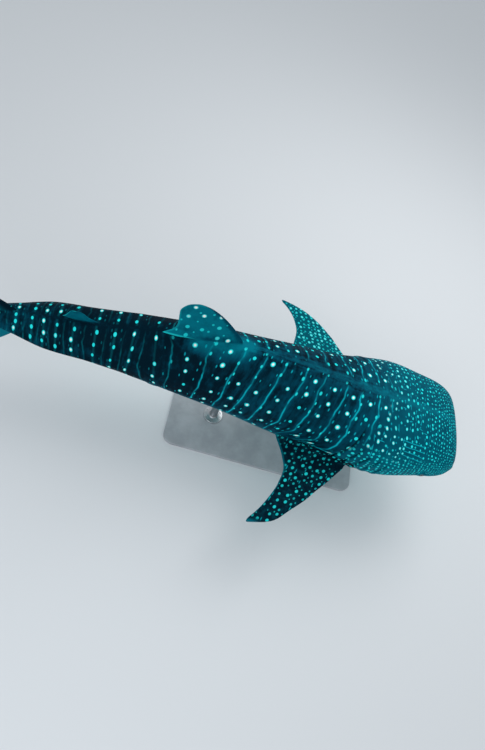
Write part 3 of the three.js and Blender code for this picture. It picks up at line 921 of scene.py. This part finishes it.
def head_marks(paint):
    """Speckles in rings across the head, growing from the snout back, and most on the crown."""
    station, turn, from_snout, arc = paint.attributes("station", "turn", "from_snout", "arc")
    warp = paint.noise(paint.point(), 2.4, 2) - 0.5

    def layer(shift, radius, jitter, likely, seed, growth=CROWN_GROWTH):
        rings = (from_snout * (growth / SPECKLE_START) + 1).logarithm() / growth
        across = rings + warp * 1.6 + shift
        gap = ((across.floor() + 0.5 - shift) * growth).exponent() * SPECKLE_START
        down = arc * 1.08 / gap + across.floor() * 0.47 + warp * 2.2
        radii = gap * radius[0], gap * radius[1]
        return Marks(paint, across, down, (gap, gap), radii, jitter, likely, seed)

    spots = layer(0, (0.18, 0.24), (0.36, 0.42), 0.95, 5)
    fine_spots = layer(0, (0.22, 0.3), (0.34, 0.4), 0.97, 7, CHEEK_GROWTH)
    crown = (turn + warp * 40).between(70, 62)
    dots = layer(0.5, (0.1, 0.14), (0.3, 0.6), 0.85, 17)
    strokes = layer(0.5, (0.05, 0.45), (0.14, 0.1), 0.3, 29)
    dashes = layer(0.5, (0.4, 0.065), (0.1, 0.2), 0.09, 31)
    bright = spots.mask(1.1, 0.7) * (spots.luck * 0.45 + 0.65) * crown
    bright = bright.or_more(fine_spots.mask(1.1, 0.7) * (fine_spots.luck * 0.45 + 0.5) * (1 - crown))
    short_lines = strokes.mask(1.1, 0.6).or_more(dashes.mask(1.1, 0.6))
    faint = (dots.mask(1.2, 0.5) * crown * 0.7).or_more(short_lines * 0.8)

    # a patch of long wavy lines on the right of the crown
    wave = arc * SWIRL_LINES + warp * 2.5
    from_wave = (wave - wave.floor() - 0.5).size() / SWIRL_LINES
    patch = station.between(0.08, 0.088) * station.between(0.128, 0.12)
    patch = patch * arc.between(-0.56, -0.54) * arc.between(-0.35, -0.37)
    swirl = from_wave.between(0.0065, 0.002) * patch
    faint = (faint * (1 - patch)).or_more(swirl * 0.85)
    return faint, bright * (1 - swirl), spots.mask(0.7, 0.25) * spots.luck.between(0.2, 0.6) * crown


def fin_marks(paint, along_x, along_y, scale, radius, seed, likely, jitter=0.5):
    spots = Marks(
        paint, along_x * scale, along_y * scale, (1 / scale, 1 / scale), (radius, radius * 1.15),
        (jitter, jitter), likely, seed,
    )
    dots = Marks(
        paint, along_x * scale + 0.5, along_y * scale + 0.5, (1 / scale, 1 / scale),
        (radius * 0.5, radius * 0.6), (0.35, 0.35), 0.7, seed + 1,
    )
    bright = (spots.mask(1.1, 0.7) * (spots.luck * 0.5 + 0.5)).or_more(dots.mask(1.1, 0.6) * 0.55)
    return bright, spots.mask(0.8, 0.3) * spots.luck.between(0.45, 0.7)


def skin_material():
    paint = Paint("whale_shark_skin")
    point = paint.point()
    x, y, z = paint.parts(point)
    station, turn, bars, column, row = paint.attributes("station", "turn", "bars", "column", "row")
    fin_only, dorsal, plain_fin, caudal = paint.attributes(
        "pectoral", "first_dorsal", "plain_fin", "caudal"
    )
    span, along, by_pectoral = paint.attributes("fin_span", "fin_along", "by_pectoral")
    root_zone = by_pectoral.between(1.06, 0.94) * turn.between(60, 72) * turn.between(126, 112)
    pectoral = fin_only.or_more(root_zone)
    on_body = 1 - pectoral.or_more(dorsal).or_more(plain_fin).or_more(caudal)

    flank_faint, flank_bright, flank_white, halo = flank_marks(paint, station, turn)
    head_faint, head_bright, head_white = head_marks(paint)
    on_flank = bars * on_body * turn.between(2, 7) * turn.between(124, 112)
    from_eye = paint.distance(eye_centre(1)).or_less(paint.distance(eye_centre(-1)))
    on_head = (1 - bars) * on_body * turn.between(126, 106) * from_eye.between(0.034, 0.052)

    # ground colour: dark between the columns, lighter on the ridge, the low flank and the head; the lighter
    # ridge and head are painted light from above
    streaks = paint.noise(paint.vector(column * 3.4, row * 0.5), 1, 4, 0.6) - 0.5
    cloud = paint.noise(point, 3.2, 4, 0.55)
    netting = paint.noise(point, 17, 4, 0.6) - 0.5
    mottle = paint.noise(point, 9, 4, 0.6) - 0.5
    ridge_lines = paint.noise(paint.vector(column * 1.3, turn * 0.24), 1, 3) - 0.5
    # a band along the back and its crest, painted light where light from above falls on it, mottled by
    # lines and netting of its own
    lit_ridge_band = turn.between(20, 2) * station.between(0.13, 0.2) * station.between(0.5, 0.4)
    light = lit_ridge_band * (netting * 0.6 + ridge_lines * 1.1 + 0.06)
    light = light + turn.between(6, 1) * station.between(0.56, 0.44) * 0.2
    light = light + turn.between(96, 128) * 0.4 + netting * 0.35 + (cloud - 0.5) * 0.3 + 0.03
    # lighter over the head, painted light on its top, and a little lighter ahead of mid-body
    light = light + station.between(0.26, 0.12) * 0.33 + station.between(0.5, 0.38) * 0.15
    # the head's sides a little lighter, and painted light by the first dorsal fin
    light = light + (1 - bars) * turn.between(46, 84) * 0.22 + paint.attribute("by_dorsal") * (mottle + 0.8)
    light = light + bars * (halo * 0.14 + streaks * 0.75) + station.between(0.74, 0.84) * 0.14
    ground = paint.mix(light.between(0, 0.36), DARK_FLANK, TEAL)
    ground = paint.mix(light.between(0.26, 0.95), ground, LIGHT_TEAL)
    ground = paint.mix(turn.between(112, 148) * station.between(0.82, 0.7), ground, PALE_BELLY)

    # fins
    near_root = span.between(0.05, 0.32)
    left_side = y.between(-0.05, 0.05)
    # the right pectoral is painted dark as shade, the left painted lighter teal as light
    pectoral_ground = paint.mix(left_side, SHADED_PECTORAL, LIT_LEFT_FIN_TEAL)
    rim = along.between(0.95, 0.99).or_more(span.between(0.94, 0.99) * (1 - left_side * 0.8))
    pectoral_ground = paint.mix(rim * 0.7, pectoral_ground, LIGHT_TEAL)
    pectoral_ground = paint.mix(netting.between(-0.1, 0.3) * 0.22, pectoral_ground, LIGHT_TEAL)
    # the first dorsal: lighter teal as painted light, a darker leading edge as painted shade, and mottle of
    # its own
    dorsal_light_shade_and_mottle = near_root.or_more(along.between(0.4, 0.8)) * along.between(0.02, 0.14) * 0.8
    dorsal_light_shade_and_mottle = dorsal_light_shade_and_mottle + mottle * 1.9 + netting * 0.5 + 0.05
    dorsal_ground = paint.mix(dorsal_light_shade_and_mottle.between(0, 1), TEAL, DORSAL_TEAL)
    dark_front = span.between(0.16, 0) * along.between(0.5, 0.2) * 0.6
    dorsal_ground = paint.mix(dark_front, dorsal_ground, DARK_FLANK)
    plain_ground = paint.mix((cloud + netting * 0.6).between(0.3, 0.75) * 0.6 + 0.15, TEAL, DORSAL_TEAL)
    # the caudal fin's dark leading edge is painted shade and its lighter face painted light; the lower lobe
    # is lighter throughout
    caudal_shade_and_tone = along.between(0.12, 0.5) * (cloud * 0.5 + 0.3)
    caudal_shade_and_tone = caudal_shade_and_tone.or_more(paint.attribute("caudal_low"))
    caudal_ground = paint.mix(caudal_shade_and_tone, DARK_FLANK, LIGHT_TEAL)
    # the fins are pale underneath, as the belly is
    under_fin = paint.attribute("facing_down") * fin_only
    pectoral_ground = paint.mix(under_fin, pectoral_ground, PALE_BELLY)
    ground = paint.mix(pectoral, ground, pectoral_ground)
    ground = paint.mix(dorsal, ground, dorsal_ground)
    ground = paint.mix(plain_fin, ground, plain_ground)
    ground = paint.mix(caudal, ground, caudal_ground)
    from_middle = y.size()
    fin_x, fin_y = x + from_middle * 0.3, from_middle - z
    right_bright, _ = fin_marks(paint, fin_x, fin_y, 12.5, 0.0158, 41, 0.92, 0.4)
    left_bright, left_white = fin_marks(paint, fin_x, fin_y, 17, 0.016, 43, 0.97, 0.36)
    pectoral_bright = right_bright * (1 - left_side) * 0.8 + left_bright * left_side
    stroke_gaps = STROKE_GAP, STROKE_GAP
    strokes = Marks(
        paint, fin_x / STROKE_GAP, fin_y / STROKE_GAP, stroke_gaps, (0.0065, 0.027), (0.7, 0.6), 0.55, 61,
    )
    dorsal_bright, dorsal_white = fin_marks(paint, x, z - x * 0.25, 6.8, 0.0235, 47, 0.8)
    tail_bright, _ = fin_marks(paint, x - z * 0.4, z, 7, 0.017, 53, 0.5)

    # paint, from the faintest to the white cores
    underside = 1 - turn.between(108, 124) * pectoral
    on_pectoral = pectoral * (1 - rim) * (1 - under_fin)
    on_pectoral = on_pectoral * span.between(left_side * 0.03 + 0.96, left_side * 0.03 + 0.91)
    on_dorsal = dorsal * along.between(0.03, 0.09) * span.between(0.96, 0.9)
    above_root = turn.between(108, 98)
    base_line = by_pectoral.between(1.22, 1.1) * by_pectoral.between(1, 1.1)
    base_line = base_line * turn.between(60, 72) * above_root
    # a dark line above the root of each pectoral fin, painted shade in the crease there
    pectoral_root_shade = by_pectoral.between(0.82, 0.95) * by_pectoral.between(1.06, 0.97)
    pectoral_root_shade = pectoral_root_shade * turn.between(66, 76) * above_root
    faint = (flank_faint * on_flank).or_more(head_faint * on_head).or_more(base_line * bars * 0.6)
    faint = faint.or_more(strokes.mask(1.2, 0.5) * on_pectoral * (1 - left_side) * 0.7)
    bright = (flank_bright * on_flank).or_more(head_bright * on_head)
    bright = bright.or_more(pectoral_bright * on_pectoral)
    bright = bright.or_more(dorsal_bright * on_dorsal).or_more(tail_bright * caudal * 0.7)
    bright = bright.or_more(rim * (plain_fin + dorsal * 0.5) * 0.35)
    free_corner = span.between(0.07, 0.02) * along.between(0.55, 0.8)
    bright = bright.or_more(free_corner * (plain_fin + dorsal) * 0.6)
    white = (flank_white * on_flank).or_more(head_white * on_head * station.between(0.1, 0.17) * 0.7)
    white = white.or_more(dorsal_white * on_dorsal).or_more(left_white * on_pectoral * left_side * 0.15)
    colour = paint.mix(faint, ground, LINE_TEAL)
    colour = paint.mix(bright * underside, colour, SPOT_RIM)
    colour = paint.mix(white, colour, SPOT_CORE)
    # painted shade: dark in the cuts, in a line above the pectoral roots and round the eye sockets
    crease_shade = paint.attribute("crease_shade").or_more(pectoral_root_shade * (1 - bright) * 0.8)
    # a dark ring round each eye, painted shade in the gap of its socket
    crease_shade = crease_shade.or_more(from_eye.between(0.0315, 0.0275) * 0.9)
    colour = paint.mix(crease_shade, colour, CREASE_SHADE)

    denticles = paint.noise(point, 210, 2, 0.6)
    wrinkles = paint.noise(point, 24, 4, 0.6)
    height = denticles * 0.25 + wrinkles + bright * 0.2
    bump = paint.node("ShaderNodeBump", None, {"Strength": 0.22, "Distance": 0.004, "Height": height})
    return paint.finish(
        Base_Color=colour, Roughness=cloud * 0.2 + 0.48, Normal=bump, Specular_IOR_Level=0.02,
    )


def eye_material():
    paint = Paint("dark_eye")
    gaze = paint.attribute("gaze")
    streaks = paint.noise(paint.point(), 260, 3)
    iris = paint.mix(streaks, linear(46, 62, 68), linear(92, 112, 116))
    colour = paint.mix(gaze.between(0.5, 0.54), linear(3, 4, 6), iris)
    colour = paint.mix(gaze.between(0.74, 0.8), colour, linear(14, 24, 28))
    return paint.finish(Base_Color=colour, Roughness=streaks * 0.04 + 0.04, Coat_Weight=0.6)


def plate_material():
    paint = Paint("painted_plate")
    grain = paint.noise(paint.point(), 120, 4)
    scuffs = paint.noise(paint.point(), 5, 4, 0.6)
    colour = paint.mix(scuffs.between(0.3, 0.75), linear(146, 152, 158), linear(164, 170, 176))
    bump = paint.node("ShaderNodeBump", None, {"Strength": 0.15, "Distance": 0.001, "Height": grain})
    return paint.finish(Base_Color=colour, Roughness=scuffs * 0.2 + 0.4, Normal=bump)


def steel_material():
    paint = Paint("brushed_rods")
    stretched = paint.node("ShaderNodeMapping", None, {"Vector": paint.point(), "Scale": (60, 60, 900)})
    brushing = paint.noise(stretched, 1, 3)
    colour = paint.mix(brushing, linear(150, 154, 158), linear(190, 194, 198))
    bump = paint.node("ShaderNodeBump", None, {"Strength": 0.08, "Distance": 0.0006, "Height": brushing})
    return paint.finish(Base_Color=colour, Metallic=1.0, Roughness=brushing * 0.14 + 0.27, Normal=bump)


# Eyes

def make_eye(mirror):
    side = "left" if mirror > 0 else "right"
    deselect_all()
    bpy.ops.mesh.primitive_uv_sphere_add(
        segments=EYE_SIDES, ring_count=EYE_RINGS, radius=EYE_RADIUS, location=eye_centre(mirror),
        rotation=(math.radians(-90 * mirror), 0, 0),
    )
    eye = bpy.context.object
    eye.name = eye.data.name = f"eye_ball_{side}"
    fix_place()
    bpy.ops.object.shade_smooth()
    _, left, _ = frame_of(np.array(EYE_STATION))
    outward = unit(left * mirror)
    from_centre = unit(points_of(eye) - eye_centre(mirror))
    put_attribute(eye.data, "gaze", np.linalg.norm(np.cross(from_centre, outward), axis=1))
    eye.data.materials.append(materials["eye"])
    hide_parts(f"eye_{side}")
    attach(eye, "root")
    return eye


# Stand: a flat plate and two turned posts with bolted feet

PLATE_LENGTH, PLATE_WIDTH, PLATE_THICKNESS, PLATE_CORNER = 2.3, 1.0, 0.04, 0.12
PLATE_EDGE = 0.006
POST_OFFSET, POST_SIDES = 0.64, 72
FOOT_RADIUS, NECK_RADIUS, PAD_RADIUS = 0.115, 0.045, 0.085
FOOT_THICKNESS = 0.016
# the pad runs this far up into the belly, to close round its curve
PAD_SINK = 0.03
BOLTS, BOLT_CIRCLE, BOLT_RADIUS, BOLT_HEIGHT, BOLT_BEVEL = 6, 0.09, 0.0095, 0.007, 0.0014
CORNER_ANGLE = math.radians(35)


def select_edges(piece, wanted):
    """In edit mode, selects the edges whose two ends pass the test."""
    bpy.ops.mesh.select_mode(type="EDGE")
    bpy.ops.mesh.select_all(action="DESELECT")
    bpy.ops.object.mode_set(mode="OBJECT")
    points = piece.data.vertices
    for edge_of in piece.data.edges:
        first, second = (points[k].co for k in edge_of.vertices)
        edge_of.select = bool(wanted(first, second))
    bpy.ops.object.mode_set(mode="EDIT")


def make_plate():
    deselect_all()
    bpy.ops.mesh.primitive_cube_add(size=1, location=(0, 0, PLATE_THICKNESS / 2))
    plate = bpy.context.object
    plate.name = plate.data.name = "stand_plate"
    plate.scale = PLATE_LENGTH, PLATE_WIDTH, PLATE_THICKNESS
    fix_place()
    with editing(plate):
        select_edges(plate, lambda a, b: abs(a.z - b.z) > PLATE_THICKNESS / 2)
        bpy.ops.mesh.bevel(offset=PLATE_CORNER, segments=16, affect="EDGES")
        select_edges(plate, lambda a, b: min(a.z, b.z) > PLATE_THICKNESS * 0.9)
        bpy.ops.mesh.bevel(offset=PLATE_EDGE, segments=4, affect="EDGES")
    bpy.ops.object.shade_smooth_by_angle(angle=CORNER_ANGLE)
    plate.data.materials.append(materials["plate"])
    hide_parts("stand_base")
    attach(plate, "root")


def make_bolt(x, y):
    deselect_all()
    bpy.ops.mesh.primitive_cylinder_add(
        vertices=6, radius=BOLT_RADIUS, depth=BOLT_HEIGHT,
        location=(x, y, PLATE_THICKNESS + FOOT_THICKNESS + BOLT_HEIGHT / 2),
    )
    bolt = bpy.context.object
    fix_place()
    top = PLATE_THICKNESS + FOOT_THICKNESS + BOLT_HEIGHT
    with editing(bolt):
        select_edges(bolt, lambda a, b: min(a.z, b.z) > top - 1e-4)
        bpy.ops.mesh.bevel(offset=BOLT_BEVEL, segments=2, affect="EDGES")
    return bolt


def make_post(name, node, x):
    """A post turned from the floor up: foot, neck, shaft and the pad under the belly."""
    pad = AXIS_HEIGHT - float(belly_depth(BALANCE_STATION - x / TOTAL_LENGTH)) * TOTAL_LENGTH
    foot = PLATE_THICKNESS + FOOT_THICKNESS
    outline = [
        (FOOT_RADIUS, foot - 0.003), (FOOT_RADIUS - 0.003, foot),
        (NECK_RADIUS + 0.014, foot + 0.004), (NECK_RADIUS + 0.006, foot + 0.009),
        (NECK_RADIUS + 0.002, foot + 0.016), (NECK_RADIUS, foot + 0.026),
        (NECK_RADIUS, pad - 0.062), (NECK_RADIUS + 0.003, pad - 0.054), (NECK_RADIUS + 0.012, pad - 0.04),
        (PAD_RADIUS - 0.006, pad - 0.02), (PAD_RADIUS - 0.001, pad - 0.015), (PAD_RADIUS, pad - 0.01),
        (PAD_RADIUS, pad + PAD_SINK),
    ]
    deselect_all()
    bpy.ops.mesh.primitive_circle_add(
        vertices=POST_SIDES, radius=FOOT_RADIUS, fill_type="NGON", location=(x, 0, PLATE_THICKNESS)
    )
    post = bpy.context.object
    fix_place()
    radius, height = FOOT_RADIUS, PLATE_THICKNESS
    with editing(post):
        for next_radius, next_height in outline:
            step = {"value": (0, 0, next_height - height)}
            bpy.ops.mesh.extrude_region_move(TRANSFORM_OT_translate=step)
            ratio = next_radius / radius
            bpy.ops.transform.resize(value=(ratio, ratio, 1), center_override=(x, 0, next_height))
            radius, height = next_radius, next_height
        bpy.ops.mesh.select_all(action="SELECT")
        bpy.ops.mesh.normals_make_consistent(inside=False)
    bolts = []
    for k in range(BOLTS):
        turn = (k + 0.5) / BOLTS * 2 * math.pi
        bolts.append(make_bolt(x + BOLT_CIRCLE * math.cos(turn), BOLT_CIRCLE * math.sin(turn)))
    deselect_all()
    for piece in (*bolts, post):
        piece.select_set(True)
    bpy.context.view_layer.objects.active = post
    bpy.ops.object.join()
    bpy.ops.object.shade_smooth_by_angle(angle=CORNER_ANGLE)
    post.name = post.data.name = name
    post.data.materials.clear()
    post.data.materials.append(materials["steel"])
    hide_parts(node)
    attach(post, "root")


# Stage: floor, camera and light

def make_floor():
    deselect_all()
    bpy.ops.mesh.primitive_plane_add(size=80, location=(0, 0, 0))
    floor = bpy.context.object
    floor.name = "studio_floor"
    paint = Paint("pale_floor")
    floor.data.materials.append(paint.finish(Base_Color=linear(214, 218, 222), Roughness=0.9))


CAMERA_PLACE = (-1.3497, -3.4239, 6.3431)
CAMERA_RIGHT = (0.95082, 0.17279, 0.25705)
CAMERA_UP = (-0.28256, 0.82381, 0.49143)
CAMERA_FOCAL_PIXELS = 600
PICTURE_LONG_SIDE = 750
SENSOR = 36


def make_camera():
    lens = bpy.data.cameras.new("photo_camera")
    lens.sensor_width = SENSOR
    lens.lens = CAMERA_FOCAL_PIXELS * SENSOR / PICTURE_LONG_SIDE
    camera = bpy.data.objects.new("photo_camera", lens)
    bpy.context.scene.collection.objects.link(camera)
    right, up = Vector(CAMERA_RIGHT).normalized(), Vector(CAMERA_UP).normalized()
    back = right.cross(up).normalized()
    up = back.cross(right)
    turned = Matrix((right, up, back)).transposed().to_4x4()
    camera.matrix_world = Matrix.Translation(CAMERA_PLACE) @ turned
    bpy.context.scene.camera = camera


def make_light(name, place_at, aim, size, power, tint):
    lamp = bpy.data.lights.new(name, "AREA")
    lamp.size = size
    lamp.energy = power
    lamp.color = tint
    light = bpy.data.objects.new(name, lamp)
    bpy.context.scene.collection.objects.link(light)
    light.location = place_at
    light.rotation_mode = "QUATERNION"
    light.rotation_quaternion = (Vector(aim) - Vector(place_at)).to_track_quat("-Z", "Y")


def make_lights():
    world = bpy.data.worlds.new("studio")
    world.use_nodes = True
    world.node_tree.nodes["Background"].inputs["Color"].default_value = (0.93, 0.97, 1, 1)
    world.node_tree.nodes["Background"].inputs["Strength"].default_value = 0.68
    bpy.context.scene.world = world
    bpy.context.scene.view_settings.view_transform = "Standard"
    make_light("key", (2.5, 3.5, 7), (0.3, 0, 1), 5, 250, (1, 0.99, 0.97))
    make_light("fill", (-3, -6, 5), (0, 0, 1), 5, 130, (0.95, 0.98, 1))


# Assembly

make_camera()
make_lights()
make_floor()
materials = {
    "skin": skin_material(), "eye": eye_material(), "plate": plate_material(), "steel": steel_material(),
}

skin, body, fins, body_tree, fin_tree = make_skin()
cut_sockets(skin)
drop_empty_faces(skin)
mark_skin(skin, body, fins, body_tree, fin_tree)
shape_lids(skin)
activate(skin)
bpy.ops.object.shade_smooth()
skin.data.materials.clear()
skin.data.materials.append(materials["skin"])
flesh = [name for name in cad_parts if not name.startswith(("stand_", "eye_"))]
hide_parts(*flesh)
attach(skin, "root")

for mirror in (1, -1):
    make_eye(mirror)

make_plate()
make_post("stand_post_front", "stand_rod_front", POST_OFFSET)
make_post("stand_post_rear", "stand_rod_rear", -POST_OFFSET)
